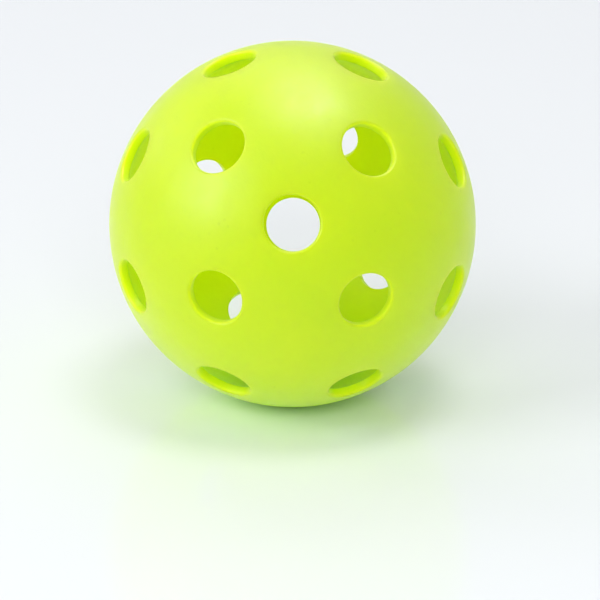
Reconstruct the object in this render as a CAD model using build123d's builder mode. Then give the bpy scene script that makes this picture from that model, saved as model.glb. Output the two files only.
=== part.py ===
from build123d import *
from math import cos, radians, sin, sqrt
import os

# Perforated hollow practice ball: two thin injection-moulded half shells with round air holes,
# nested on a rebated lip and welded around their shared rim.
#
# Frame: origin at the ball's centre, +Z up, millimetres. The ball stands on the rim of one hole of the
# rear shell's wide ring, whose axis is the frame's -Z. The pole axis, through the two pole holes, lies in
# the YZ plane and rises 20 degrees towards -Y. The front shell is the half on the -Y side.

os.makedirs("parts", exist_ok=True)

# ---- driving dimensions -------------------------------------------------------------------
BALL_D = 42.0  # outside diameter of the moulded sphere
WALL = 1.1  # shell thickness
HOLE_D = 6.35  # bore of every air hole
RING_1 = 35.0  # polar angle of the ring of four holes, degrees from the shell's own pole
RING_2 = 70.0  # polar angle of the ring of eight holes
RING_1_COUNT = 4
RING_2_COUNT = 8
RING_1_START = 45.0  # azimuth of the first hole of the ring of four
RING_2_START = 22.5  # azimuth of the first hole of the ring of eight
REAR_TURN = 22.5  # the rear shell is welded on turned by half a pitch of its wide ring
RIM_R = 0.3  # rounding of each hole's outside edge
RIM_IN_R = 0.15  # rounding of each hole's inside edge
LIP_LENGTH = 1.0  # how far the front shell's lip reaches into the rear shell
LIP_R = 20.35  # outside radius of the lip, and inside radius of the rebate it sits in
GROOVE = 0.22  # chamfer on each shell's outside rim; the pair makes the weld's V groove
BEAD_PROUD = 0.05  # how far the weld bead stands above the sphere
POLE_RISE = 20.0  # tilt of the pole axis above the horizontal

R = BALL_D / 2
RI = R - WALL
HOLE_R = HOLE_D / 2
HOLE_START = R + 1.0  # each hole's drill starts this far from the centre
HOLE_DEPTH = 4.5  # and reaches this far inwards, well short of the opposite wall

# ---- planes -------------------------------------------------------------------------------
POLE = Vector(0, -cos(radians(POLE_RISE)), sin(radians(POLE_RISE)))
POLE_AXIS = Axis((0, 0, 0), POLE)
# local Z along the pole axis, local X along the frame's X
POLE_PLANE = Plane(origin=(0, 0, 0), x_dir=(1, 0, 0), z_dir=POLE)


def profile_plane(azimuth):
    """A plane through the pole axis at this azimuth: local X is radial, local Y runs to the front pole."""
    radial = POLE_PLANE.x_dir * cos(radians(azimuth)) + POLE_PLANE.y_dir * sin(
        radians(azimuth)
    )
    return Plane(origin=(0, 0, 0), x_dir=radial, z_dir=radial.cross(POLE))


def ring_locations(polar, count, start):
    """Hole locations of one ring in the pole frame, each with its local Z along the hole, outwards."""
    return [
        Location((0, 0, 0), (0, 0, start + k * 360.0 / count))
        * Location((0, 0, 0), (0, polar, 0))
        * Location((0, 0, HOLE_START))
        for k in range(count)
    ]


front_holes = (
    [Location((0, 0, HOLE_START))]
    + ring_locations(RING_1, RING_1_COUNT, RING_1_START)
    + ring_locations(RING_2, RING_2_COUNT, RING_2_START)
)
rear_holes = (
    [Location((0, 0, -HOLE_START), (180, 0, 0))]
    + ring_locations(180 - RING_1, RING_1_COUNT, RING_1_START + REAR_TURN)
    + ring_locations(180 - RING_2, RING_2_COUNT, RING_2_START + REAR_TURN)
)


def rim_edges(part, sphere_radius, holes):
    """The edges where these holes leave a sphere of this radius."""
    axes = [
        POLE_PLANE.from_local_coords(Vector(hole.position)).normalized()
        for hole in holes
    ]

    def on_rim(edge):
        points = [edge.position_at(t) for t in (0, 0.2, 0.4, 0.6, 0.8)]
        return all(abs(p.length - sphere_radius) < 0.005 for p in points) and any(
            all(p.dot(a) > 0 and abs(p.cross(a).length - HOLE_R) < 0.005 for p in points)
            for a in axes
        )

    return part.edges().filter_by(on_rim)


# points of the rim section, in profile coordinates (radial, along the pole axis)
SHOULDER = (sqrt(R**2 - GROOVE**2), GROOVE)
ROOT = (R - GROOVE, 0.0)
LIP_TIP_IN = (sqrt(RI**2 - LIP_LENGTH**2), -LIP_LENGTH)
LIP_TIP_OUT = (LIP_R, -LIP_LENGTH)
MID = sqrt(0.5)

# ---- front shell: the half towards -Y, with the lip ----------------------------------------
with BuildPart(POLE_PLANE) as front_shell:
    with BuildSketch(profile_plane(0.0)):
        with BuildLine():
            ThreePointArc(SHOULDER, (R * MID, R * MID), (0, R))
            Line((0, R), (0, RI))
            ThreePointArc((0, RI), (RI * MID, RI * MID), LIP_TIP_IN)
            Polyline(LIP_TIP_IN, LIP_TIP_OUT, (LIP_R, 0), ROOT, SHOULDER)
        make_face()
    revolve(axis=POLE_AXIS)
    with Locations(*front_holes):
        Hole(HOLE_R, depth=HOLE_DEPTH)
    fillet(rim_edges(front_shell, R, front_holes), radius=RIM_R)
    fillet(rim_edges(front_shell, RI, front_holes), radius=RIM_IN_R)
front_shell.part.label = "front_shell"

# ---- rear shell: the half towards +Y, with the rebate --------------------------------------
with BuildPart(POLE_PLANE) as rear_shell:
    with BuildSketch(profile_plane(REAR_TURN)):
        with BuildLine():
            ThreePointArc((SHOULDER[0], -GROOVE), (R * MID, -R * MID), (0, -R))
            Line((0, -R), (0, -RI))
            ThreePointArc((0, -RI), (RI * MID, -RI * MID), LIP_TIP_IN)
            Polyline(LIP_TIP_IN, LIP_TIP_OUT, (LIP_R, 0), ROOT, (SHOULDER[0], -GROOVE))
        make_face()
    revolve(axis=POLE_AXIS)
    with Locations(*rear_holes):
        Hole(HOLE_R, depth=HOLE_DEPTH)
    fillet(rim_edges(rear_shell, R, rear_holes), radius=RIM_R)
    fillet(rim_edges(rear_shell, RI, rear_holes), radius=RIM_IN_R)
rear_shell.part.label = "rear_shell"

# ---- weld bead: the ring of resolidified plastic that fills the V groove --------------------
with BuildPart() as weld_bead:
    with BuildSketch(profile_plane(0.0)):
        with BuildLine():
            Line(ROOT, SHOULDER)
            ThreePointArc(SHOULDER, (R + BEAD_PROUD, 0), (SHOULDER[0], -GROOVE))
            Line((SHOULDER[0], -GROOVE), ROOT)
        make_face()
    revolve(axis=POLE_AXIS)
weld_bead.part.label = "weld_bead"

for piece in (front_shell, rear_shell, weld_bead):
    box = piece.part.bounding_box()
    print(
        piece.part.label,
        "volume", round(piece.part.volume, 2),
        "faces", len(piece.part.faces()),
        "box", box.min, box.max,
    )

export_step(front_shell.part, "parts/front_shell.step")
export_step(rear_shell.part, "parts/rear_shell.step")
export_step(weld_bead.part, "parts/weld_bead.step")
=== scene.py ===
"""A lime green perforated practice ball, standing on the rim of one of its holes on a pale floor."""

import math

import bpy
import numpy as np
from mathutils import Matrix, Quaternion, Vector
from mathutils.geometry import delaunay_2d_cdt


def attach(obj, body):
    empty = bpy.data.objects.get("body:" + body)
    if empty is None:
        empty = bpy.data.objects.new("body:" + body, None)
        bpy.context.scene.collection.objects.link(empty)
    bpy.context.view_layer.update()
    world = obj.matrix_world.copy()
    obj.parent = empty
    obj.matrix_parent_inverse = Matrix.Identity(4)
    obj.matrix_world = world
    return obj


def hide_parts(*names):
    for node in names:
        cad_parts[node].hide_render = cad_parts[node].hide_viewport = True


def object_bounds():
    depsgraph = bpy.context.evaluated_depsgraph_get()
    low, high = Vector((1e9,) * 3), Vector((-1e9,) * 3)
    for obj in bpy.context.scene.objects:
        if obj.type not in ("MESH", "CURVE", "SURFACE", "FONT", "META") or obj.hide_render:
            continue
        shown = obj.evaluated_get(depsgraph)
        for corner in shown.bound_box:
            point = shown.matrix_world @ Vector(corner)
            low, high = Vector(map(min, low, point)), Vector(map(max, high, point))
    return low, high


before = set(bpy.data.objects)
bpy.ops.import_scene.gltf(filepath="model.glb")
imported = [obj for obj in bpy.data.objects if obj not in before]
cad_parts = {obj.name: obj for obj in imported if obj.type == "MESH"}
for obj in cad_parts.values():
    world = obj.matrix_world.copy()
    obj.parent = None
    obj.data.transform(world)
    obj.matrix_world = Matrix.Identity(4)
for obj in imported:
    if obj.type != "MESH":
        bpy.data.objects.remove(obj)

cad_lo, cad_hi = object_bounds()
MM = 0.001

# ---- sizes of the real piece, in millimetres, as in the CAD -----------------------------------
R = 21.0
WALL = 1.1
RI = R - WALL
HOLE_R = 3.175
RIM_OUT = 0.3
RIM_IN = 0.15
LIP = 1.0
LIP_R = 20.35
GROOVE = 0.22
PROUD = 0.05
RISE = math.radians(20.0)
POLE = np.array([0.0, -math.cos(RISE), math.sin(RISE)])
SIDE = np.array([1.0, 0.0, 0.0])
UP = np.array([0.0, math.sin(RISE), math.cos(RISE)])

N_HOLE = 88  # points round a hole
N_RIM = 288  # points round the shell's rim


def unit(v):
    return v / np.linalg.norm(v, axis=-1, keepdims=True)


def direction(polar, azimuth):
    """Unit vectors at these angles, in radians, from the shell's own pole."""
    polar, azimuth = np.broadcast_arrays(polar, azimuth)
    return np.stack(
        [
            np.sin(polar) * np.cos(azimuth),
            np.sin(polar) * np.sin(azimuth),
            np.cos(polar),
        ],
        -1,
    )


def hole_axes(first, second):
    """The pole hole, the ring of four that starts at azimuth first, and the ring of eight at second."""
    axes = [direction(0.0, 0.0)]
    axes += [
        direction(math.radians(35), math.radians(first + 90 * k)) for k in range(4)
    ]
    axes += [
        direction(math.radians(70), math.radians(second + 45 * k)) for k in range(8)
    ]
    return np.array(axes)


def circle_frame(axis):
    """Two unit vectors across a hole's axis."""
    a = np.array([0.0, 0.0, 1.0]) if abs(axis[2]) < 0.9 else np.array([1.0, 0.0, 0.0])
    u = unit(np.cross(a, axis))
    return u, np.cross(axis, u)


def ring_on_sphere(axis, angle, count, turn=0.0):
    u, v = circle_frame(axis)
    t = np.arange(count) / count * 2 * math.pi + turn
    return (
        math.cos(angle) * axis[None]
        + math.sin(angle) * np.cos(t)[:, None] * u
        + math.sin(angle) * np.sin(t)[:, None] * v
    )


def sphere_patch(holes, hole_angle, rim_polar, spacing, radius):
    """Triangles over the part of a sphere inside the rim and outside every hole.
    The first points are the holes' circles, then the rim's circle."""
    step = spacing / radius
    loops = [ring_on_sphere(a, hole_angle, N_HOLE) for a in holes]
    t = np.arange(N_RIM) / N_RIM * 2 * math.pi
    loops.append(direction(rim_polar, t))
    pts = list(loops)
    for a in holes:
        pts.append(ring_on_sphere(a, hole_angle + 0.42 * step, N_HOLE, math.pi / N_HOLE))
        pts.append(ring_on_sphere(a, hole_angle + 1.05 * step, N_HOLE * 2 // 3))
    pts.append(direction(rim_polar - 0.5 * step, t + math.pi / N_RIM))
    pts.append(
        direction(rim_polar - 1.25 * step, np.arange(N_RIM * 2 // 3) / (N_RIM * 2 // 3) * 2 * math.pi)
    )
    n = int(4 * math.pi / (step * step * 0.866))
    k = np.arange(n) + 0.5
    z = 1 - 2 * k / n
    az = k * math.pi * (3 - math.sqrt(5))
    s = np.sqrt(1 - z * z)
    fill = np.stack([s * np.cos(az), s * np.sin(az), z], -1)
    keep = np.arccos(np.clip(fill[:, 2], -1, 1)) < rim_polar - 2.0 * step
    for a in holes:
        keep &= np.arccos(np.clip(fill @ a, -1, 1)) > hole_angle + 1.8 * step
    pts.append(fill[keep])
    d = np.concatenate(pts)
    flat = d[:, :2] / (1 + d[:, 2:3]) * 2  # circles stay circles
    edges, at = [], 0
    for loop in loops:
        c = len(loop)
        edges += [(at + i, at + (i + 1) % c) for i in range(c)]
        at += c
    out = delaunay_2d_cdt(
        [Vector((float(x), float(y))) for x, y in flat], edges, [], 0, 1e-9
    )
    tris = np.array([f for f in out[2]], int)
    verts = np.array([[v.x, v.y] for v in out[0]])
    if len(verts) != len(flat):
        raise RuntimeError("the triangulation added or merged points")
    origin = np.array([o[0] for o in out[3]], int)
    back = origin[tris]
    q = (d[back].sum(1)) / 3
    q = unit(q)
    inside = np.arccos(np.clip(q[:, 2], -1, 1)) < rim_polar
    for a in holes:
        inside &= np.arccos(np.clip(q @ a, -1, 1)) > hole_angle * 0.999
    return d, back[inside]


def hole_profile():
    """(across, along, normal across, normal along) from the outside tangent circle to the inside one."""
    rows = []
    ca, cl = HOLE_R + RIM_OUT, math.sqrt((R - RIM_OUT) ** 2 - (HOLE_R + RIM_OUT) ** 2)
    start = math.atan2(cl, ca)
    for i in range(8):
        t = start + (math.pi - start) * i / 7
        rows.append(
            (ca + RIM_OUT * math.cos(t), cl + RIM_OUT * math.sin(t), math.cos(t), math.sin(t))
        )
    ia, il = HOLE_R + RIM_IN, math.sqrt((RI + RIM_IN) ** 2 - (HOLE_R + RIM_IN) ** 2)
    for f in (0.33, 0.67):
        rows.append((HOLE_R, cl + (il - cl) * f, -1.0, 0.0))
    end = math.pi + math.atan2(il, ia)
    for i in range(6):
        t = math.pi + (end - math.pi) * i / 5
        rows.append(
            (ia + RIM_IN * math.cos(t), il + RIM_IN * math.sin(t), math.cos(t), math.sin(t))
        )
    return rows


PROFILE = hole_profile()
OUT_ANGLE = math.asin((HOLE_R + RIM_OUT) / (R - RIM_OUT))
IN_ANGLE = math.asin((HOLE_R + RIM_IN) / (RI + RIM_IN))


def shell_mesh(name, holes, basis, lip):
    """One closed half shell. basis has the shell's own X, Y and pole as rows. lip is 1 where the lip
    reaches past the rim, and -1 where the rebate is cut back."""
    out_d, out_t = sphere_patch(holes, OUT_ANGLE, math.acos(GROOVE / R), 0.62, R)
    in_polar = math.acos(-lip * LIP / RI)
    in_d, in_t = sphere_patch(holes, IN_ANGLE, in_polar, 0.75, RI)
    co = [out_d * R, in_d * RI]
    no = [out_d, -in_d]
    faces = [tuple(t) for t in out_t]
    base = len(out_d)
    faces += [tuple(base + i for i in t[::-1]) for t in in_t]
    at = base + len(in_d)
    # the holes' rounded rims and bores
    for h, a in enumerate(holes):
        u, v = circle_frame(a)
        t = np.arange(N_HOLE) / N_HOLE * 2 * math.pi
        radial = np.cos(t)[:, None] * u + np.sin(t)[:, None] * v
        rings = [h * N_HOLE + np.arange(N_HOLE)]
        for across, along, na, nl in PROFILE[1:-1]:
            co.append(across * radial + along * a)
            no.append(na * radial + nl * a)
            rings.append(at + np.arange(N_HOLE))
            at += N_HOLE
        rings.append(base + h * N_HOLE + np.arange(N_HOLE))
        for p, q in zip(rings, rings[1:]):
            for i in range(N_HOLE):
                j = (i + 1) % N_HOLE
                faces.append((p[i], q[i], q[j], p[j]))
    # the mating rim: shoulder, groove, step and lip or rebate
    t = np.arange(N_RIM) / N_RIM * 2 * math.pi
    radial = np.stack([np.cos(t), np.sin(t), 0 * t], -1)
    axial = np.array([0.0, 0.0, 1.0])
    first = len(holes) * N_HOLE
    rings = [first + np.arange(N_RIM)]
    if lip > 0:
        steps = [(R - GROOVE, 0.0), (LIP_R, 0.0), (LIP_R, -LIP * 0.5), (LIP_R, -LIP + 0.08), (LIP_R - 0.08, -LIP)]
    else:
        steps = [(R - GROOVE, 0.0), (LIP_R, 0.0), (LIP_R, LIP * 0.5), (LIP_R, LIP)]
    for r, z in steps:
        co.append(r * radial + z * axial)
        no.append(np.tile(-axial, (N_RIM, 1)))
        rings.append(at + np.arange(N_RIM))
        at += N_RIM
    rings.append(base + first + np.arange(N_RIM))
    for p, q in zip(rings, rings[1:]):
        for i in range(N_RIM):
            j = (i + 1) % N_RIM
            faces.append((p[i], q[i], q[j], p[j]))
    co, no = np.concatenate(co), np.concatenate(no)
    mesh = bpy.data.meshes.new(name)
    mesh.from_pydata((co @ basis * MM).tolist(), [], [tuple(int(i) for i in f) for f in faces])
    mesh.update()
    return mesh, no @ basis


def orient(mesh):
    """All faces outwards."""
    import bmesh

    bm = bmesh.new()
    bm.from_mesh(mesh)
    bmesh.ops.recalc_face_normals(bm, faces=bm.faces)
    volume = bm.calc_volume(signed=True)
    if volume < 0:
        bmesh.ops.reverse_faces(bm, faces=bm.faces)
    open_edges = sum(not e.is_manifold for e in bm.edges)
    bm.to_mesh(mesh)
    bm.free()
    print(f"{mesh.name}: {len(mesh.polygons)} faces, volume {abs(volume) * 1e9:.1f} mm3, open edges {open_edges}")


def add_shell(name, holes, basis, lip):
    mesh, normals = shell_mesh(name, holes, basis, lip)
    orient(mesh)
    for p in mesh.polygons:
        p.use_smooth = True
    # the hidden mating faces stay flat-shaded by their own normals
    n_rim_faces = (6 if lip > 0 else 5) * N_RIM
    total = len(mesh.polygons)
    corner = np.zeros(len(mesh.loops) * 3, np.float32).reshape(-1, 3)
    vi = np.zeros(len(mesh.loops), np.int32)
    mesh.loops.foreach_get("vertex_index", vi)
    corner[:] = normals[vi]
    for p in mesh.polygons[total - n_rim_faces :]:
        for k in p.loop_indices:
            corner[k] = p.normal
    mesh.normals_split_custom_set(corner.tolist())
    obj = bpy.data.objects.new(name, mesh)
    bpy.context.scene.collection.objects.link(obj)
    return obj


front = add_shell(
    "front_shell_moulding", hole_axes(45.0, 22.5), np.array([SIDE, UP, POLE]), 1
)
rear = add_shell(
    "rear_shell_moulding", hole_axes(22.5, 0.0), np.array([SIDE, -UP, -POLE]), -1
)


def add_bead(name):
    """The weld bead: its crown wanders a little in height and width, as melted plastic sets."""
    n, across = 432, 9
    rng = np.random.default_rng(11)
    t = np.arange(n) / n * 2 * math.pi
    height = np.zeros(n)
    shift = np.zeros(n)
    for k in list(range(2, 9)) + [13, 19, 31, 47]:
        height += rng.normal() * np.cos(k * t + rng.uniform(0, 6.3)) / math.sqrt(k)
        shift += rng.normal() * np.cos(k * t + rng.uniform(0, 6.3)) / math.sqrt(k)
    height = 0.70 + 0.24 * height / np.abs(height).max()
    shift = 0.22 * shift / np.abs(shift).max()
    shoulder = math.sqrt(R * R - GROOVE * GROOVE)
    co = []
    for i in range(n):
        radial = math.cos(t[i]) * SIDE + math.sin(t[i]) * UP
        for j in range(across):
            s = -1 + 2 * j / (across - 1)
            bump = (1 - s * s) * (1 + 0.8 * shift[i] * s)
            r = shoulder + bump * (R - shoulder + PROUD * height[i])
            co.append((r * radial + s * GROOVE * POLE) * MM)
        co.append(((R - GROOVE) * radial) * MM)
    m = across + 1
    faces = []
    for i in range(n):
        a, b = i * m, ((i + 1) % n) * m
        for j in range(m):
            k = (j + 1) % m
            faces.append((a + j, b + j, b + k, a + k))
    mesh = bpy.data.meshes.new(name)
    mesh.from_pydata([tuple(float(x) for x in c) for c in co], [], faces)
    mesh.update()
    orient(mesh)
    for k, p in enumerate(mesh.polygons):
        p.use_smooth = (k % m) < across - 1
    obj = bpy.data.objects.new(name, mesh)
    bpy.context.scene.collection.objects.link(obj)
    return obj


bead = add_bead("weld_bead_crown")

for obj, node in ((front, "front_shell"), (rear, "rear_shell"), (bead, "weld_bead")):
    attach(obj, "root")
    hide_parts(node)


# ---- materials ---------------------------------------------------------------------------------
def polyethylene(name, base, scatter, seed, rough=0.43, gain=1.0):
    """Satin translucent polyethylene: faint flow clouds, fine specks, a moulded grain, soft scuffs and a painted
    glow on the bores.
    """
    mat = bpy.data.materials.new(name)
    mat.use_nodes = True
    nt = mat.node_tree
    nt.nodes.clear()
    new = nt.nodes.new
    link = nt.links.new
    out = new("ShaderNodeOutputMaterial")
    bsdf = new("ShaderNodeBsdfPrincipled")
    link(bsdf.outputs["BSDF"], out.inputs["Surface"])
    bsdf.inputs["IOR"].default_value = 1.54
    bsdf.inputs["Subsurface Weight"].default_value = scatter
    bsdf.inputs["Subsurface Radius"].default_value = (0.75, 0.82, 0.008)
    bsdf.inputs["Specular IOR Level"].default_value = 0.3
    bsdf.inputs["Sheen Weight"].default_value = 0.16
    bsdf.inputs["Sheen Roughness"].default_value = 0.45
    place = new("ShaderNodeTexCoord")
    shift = new("ShaderNodeVectorMath")
    shift.operation = "ADD"
    shift.inputs[1].default_value = (seed * 0.37, seed * 0.19, seed * 0.53)
    link(place.outputs["Object"], shift.inputs[0])

    def noise(scale, detail, roughness, warp=0.0):
        n = new("ShaderNodeTexNoise")
        n.inputs["Scale"].default_value = scale
        n.inputs["Detail"].default_value = detail
        n.inputs["Roughness"].default_value = roughness
        n.inputs["Distortion"].default_value = warp
        link(shift.outputs[0], n.inputs["Vector"])
        return n

    def span(value, low, high, to_low, to_high):
        m = new("ShaderNodeMapRange")
        m.inputs["From Min"].default_value = low
        m.inputs["From Max"].default_value = high
        m.inputs["To Min"].default_value = to_low
        m.inputs["To Max"].default_value = to_high
        link(value, m.inputs["Value"])
        return m

    # colour: cloudy flow of the pigment, then a sparse scatter of paler and darker specks
    clouds = noise(70.0, 4.0, 0.55, 0.6)
    tint = new("ShaderNodeMix")
    tint.data_type = "RGBA"
    tint.inputs[6].default_value = (base[0] * 0.955, base[1] * 0.975, base[2], 1)
    tint.inputs[7].default_value = (
        min(0.985, base[0] * 1.045),
        min(0.992, base[1] * 1.022),
        base[2] * 1.3,
        1,
    )
    link(span(clouds.outputs["Fac"], 0.32, 0.68, 0, 1).outputs[0], tint.inputs[0])
    grains = new("ShaderNodeTexVoronoi")
    grains.inputs["Scale"].default_value = 900.0
    link(shift.outputs[0], grains.inputs["Vector"])
    where = noise(260.0, 2.0, 0.5)
    dot = span(grains.outputs["Distance"], 0.05, 0.22, 1, 0)
    patch = span(where.outputs["Fac"], 0.56, 0.68, 0, 1)
    speck = new("ShaderNodeMath")
    speck.operation = "MULTIPLY"
    link(dot.outputs[0], speck.inputs[0])
    link(patch.outputs[0], speck.inputs[1])
    faint = new("ShaderNodeMath")
    faint.operation = "MULTIPLY"
    faint.inputs[1].default_value = 0.45
    link(speck.outputs[0], faint.inputs[0])
    spot = new("ShaderNodeMix")
    spot.data_type = "RGBA"
    link(faint.outputs[0], spot.inputs[0])
    link(tint.outputs[2], spot.inputs[6])
    spot.inputs[7].default_value = (base[0] * 0.80, base[1] * 0.86, base[2], 1)

    # inside the wall, on the bores, the base colour is painted a brighter, fuller yellow green: a painted
    #  glow that stands in for light piped along the plastic and leaving close to where it enters
    depth = new("ShaderNodeVectorMath")
    depth.operation = "LENGTH"
    link(place.outputs["Object"], depth.inputs[0])
    below = span(depth.outputs["Value"], 0.02070, 0.02097, 1, 0)
    above = span(depth.outputs["Value"], 0.01992, 0.02006, 0, 1)
    in_wall = new("ShaderNodeMath")
    in_wall.operation = "MULTIPLY"
    link(below.outputs[0], in_wall.inputs[0])
    link(above.outputs[0], in_wall.inputs[1])
    painted_bore_glow = new("ShaderNodeMix")
    painted_bore_glow.data_type = "RGBA"
    link(in_wall.outputs[0], painted_bore_glow.inputs[0])
    link(spot.outputs[2], painted_bore_glow.inputs[6])
    # the painted glow colour: brighter and fuller than the plastic, standing in for light
    painted_bore_glow.inputs[7].default_value = (base[0] * 1.22, min(0.985, base[1] * 1.05), base[2], 1)
    link(painted_bore_glow.outputs[2], bsdf.inputs["Base Color"])
    # the walk of the light through the plastic shortens towards the seam, so that it doesn't end in
    # the dark between the two mating rims
    along = new("ShaderNodeVectorMath")
    along.operation = "DOT_PRODUCT"
    along.inputs[1].default_value = tuple(float(x) for x in POLE)
    link(place.outputs["Object"], along.inputs[0])
    away = new("ShaderNodeMath")
    away.operation = "ABSOLUTE"
    link(along.outputs["Value"], away.inputs[0])
    walk = new("ShaderNodeMath")
    walk.operation = "MULTIPLY"
    link(span(away.outputs[0], 0.0009, 0.0034, 0.03, 1.0).outputs[0], walk.inputs[0])
    link(span(in_wall.outputs[0], 0, 1, 0.0105, 0.003).outputs[0], walk.inputs[1])
    link(walk.outputs[0], bsdf.inputs["Subsurface Scale"])

    # roughness: satin with glossier and duller drifts and a few fine rubbed lines
    drift = noise(160.0, 3.0, 0.6, 0.4)
    wide = span(drift.outputs["Fac"], 0.3, 0.7, rough - 0.07, rough + 0.08)
    fine = noise(2600.0, 2.0, 0.5)
    small = span(fine.outputs["Fac"], 0.3, 0.7, -0.02, 0.02)
    total = new("ShaderNodeMath")
    total.operation = "ADD"
    link(wide.outputs[0], total.inputs[0])
    link(small.outputs[0], total.inputs[1])
    link(total.outputs[0], bsdf.inputs["Roughness"])

    # surface: a very shallow wave of the moulding over a fine matt grain
    wave = noise(210.0, 2.0, 0.45)
    grain = noise(3400.0, 3.0, 0.6)
    b1 = new("ShaderNodeBump")
    b1.inputs["Strength"].default_value = 0.8 * gain
    b1.inputs["Distance"].default_value = 0.00003
    link(wave.outputs["Fac"], b1.inputs["Height"])
    b2 = new("ShaderNodeBump")
    b2.inputs["Strength"].default_value = 0.21 * gain
    b2.inputs["Distance"].default_value = 0.000012
    link(grain.outputs["Fac"], b2.inputs["Height"])
    link(b1.outputs["Normal"], b2.inputs["Normal"])
    # fine upright rubs, seen only where the light glances off
    squeeze = new("ShaderNodeVectorMath")
    squeeze.operation = "MULTIPLY"
    squeeze.inputs[1].default_value = (1.0, 1.0, 0.22)
    link(shift.outputs[0], squeeze.inputs[0])
    rubs = new("ShaderNodeTexNoise")
    rubs.inputs["Scale"].default_value = 2400.0
    rubs.inputs["Detail"].default_value = 3.0
    rubs.inputs["Roughness"].default_value = 0.6
    link(squeeze.outputs[0], rubs.inputs["Vector"])
    b3 = new("ShaderNodeBump")
    b3.inputs["Strength"].default_value = 0.4 * gain
    b3.inputs["Distance"].default_value = 0.00004
    link(rubs.outputs["Fac"], b3.inputs["Height"])
    link(b2.outputs["Normal"], b3.inputs["Normal"])
    link(b3.outputs["Normal"], bsdf.inputs["Normal"])
    return mat


LIME = (0.58, 0.90, 0.002)
front.data.materials.append(polyethylene("lime_polyethylene_front", LIME, 1.0, 1))
rear.data.materials.append(polyethylene("lime_polyethylene_rear", LIME, 1.0, 7))
bead.data.materials.append(
    polyethylene("lime_polyethylene_weld", (0.64, 0.89, 0.008), 0.0, 13, rough=0.40)
)


# ---- floor --------------------------------------------------------------------------------------
def add_floor(z):
    n = 24
    half = 3.0
    co, faces = [], []
    for j in range(n + 1):
        for i in range(n + 1):
            co.append((-half + 2 * half * i / n, -half + 2 * half * j / n, z))
    for j in range(n):
        for i in range(n):
            a = j * (n + 1) + i
            faces.append((a, a + 1, a + n + 2, a + n + 1))
    mesh = bpy.data.meshes.new("floor")
    mesh.from_pydata(co, [], faces)
    mesh.update()
    obj = bpy.data.objects.new("floor", mesh)
    bpy.context.scene.collection.objects.link(obj)
    mat = bpy.data.materials.new("pale_floor")
    mat.use_nodes = True
    b = mat.node_tree.nodes["Principled BSDF"]
    b.inputs["Base Color"].default_value = (0.83, 0.85, 0.875, 1)
    b.inputs["Roughness"].default_value = 0.16
    b.inputs["IOR"].default_value = 1.45
    mesh.materials.append(mat)
    return obj


add_floor(cad_lo.z)


# ---- light --------------------------------------------------------------------------------------
def softbox(name, azimuth, elevation, width, height, power, distance=1.1, colour=(1, 1, 1)):
    """A soft area light at this azimuth, from -Y towards +X, and elevation, aimed at the ball."""
    a, e = math.radians(azimuth), math.radians(elevation)
    back = Vector((math.sin(a) * math.cos(e), -math.cos(a) * math.cos(e), math.sin(e)))
    data = bpy.data.lights.new(name, "AREA")
    data.shape = "RECTANGLE"
    data.size, data.size_y = width, height
    data.energy = power
    data.color = colour
    obj = bpy.data.objects.new(name, data)
    obj.location = back * distance
    obj.rotation_mode = "QUATERNION"
    obj.rotation_quaternion = back.to_track_quat("Z", "Y")
    bpy.context.scene.collection.objects.link(obj)
    return obj


softbox("overhead", 70.0, 81.0, 0.36, 0.36, 2.6).visible_glossy = False
softbox("left_front", -63.0, 31.0, 0.6, 0.6, 4.5)
softbox("front", -2.0, 30.0, 0.6, 0.4, 4.2).visible_glossy = False
softbox("back", 186.0, 46.0, 0.9, 0.45, 1.9)
softbox("left_back", -118.0, 24.0, 0.4, 0.32, 1.0)
# two boxes that only draw the soft highlights
softbox("overhead_highlight", 152.0, 77.0, 0.5, 0.45, 13.5).visible_diffuse = False
softbox("left_highlight", -64.0, 29.0, 0.5, 0.5, 7.5).visible_diffuse = False

world = bpy.data.worlds.new("studio")
bpy.context.scene.world = world
world.use_nodes = True
world.node_tree.nodes["Background"].inputs["Color"].default_value = (0.97, 0.985, 1.0, 1)
world.node_tree.nodes["Background"].inputs["Strength"].default_value = 0.54

# ---- camera -------------------------------------------------------------------------------------
FOCAL = 4939.6  # in pixels of the 600-pixel frame
DISTANCE = 0.567
CENTRE = (292.54, 223.90)  # where the ball's centre falls in the frame
camera_data = bpy.data.cameras.new("camera")
camera_data.sensor_width = 36.0
camera_data.lens = FOCAL / 600 * 36.0
camera_data.clip_start, camera_data.clip_end = 0.01, 20.0
camera = bpy.data.objects.new("camera", camera_data)
bpy.context.scene.collection.objects.link(camera)
el, az, roll = math.radians(19.77), math.radians(0.22), math.radians(0.96)
back = Vector((math.sin(az) * math.cos(el), -math.cos(az) * math.cos(el), math.sin(el)))
look = back.to_track_quat("Z", "Y")
aim = Vector(((CENTRE[0] - 300) / FOCAL, (300 - CENTRE[1]) / FOCAL, -1)).normalized()
camera.rotation_mode = "QUATERNION"
camera.location = back * DISTANCE
camera.rotation_quaternion = (
    look
    @ Quaternion((0, 0, 1), roll)
    @ aim.rotation_difference(Vector((0, 0, -1)))
)
bpy.context.scene.camera = camera
# enough bounces for the light inside a nearly closed translucent shell
bpy.context.scene.cycles.diffuse_bounces = 10
bpy.context.scene.cycles.max_bounces = 16
bpy.context.scene.view_settings.view_transform = "Standard"
bpy.context.scene.view_settings.look = "None"
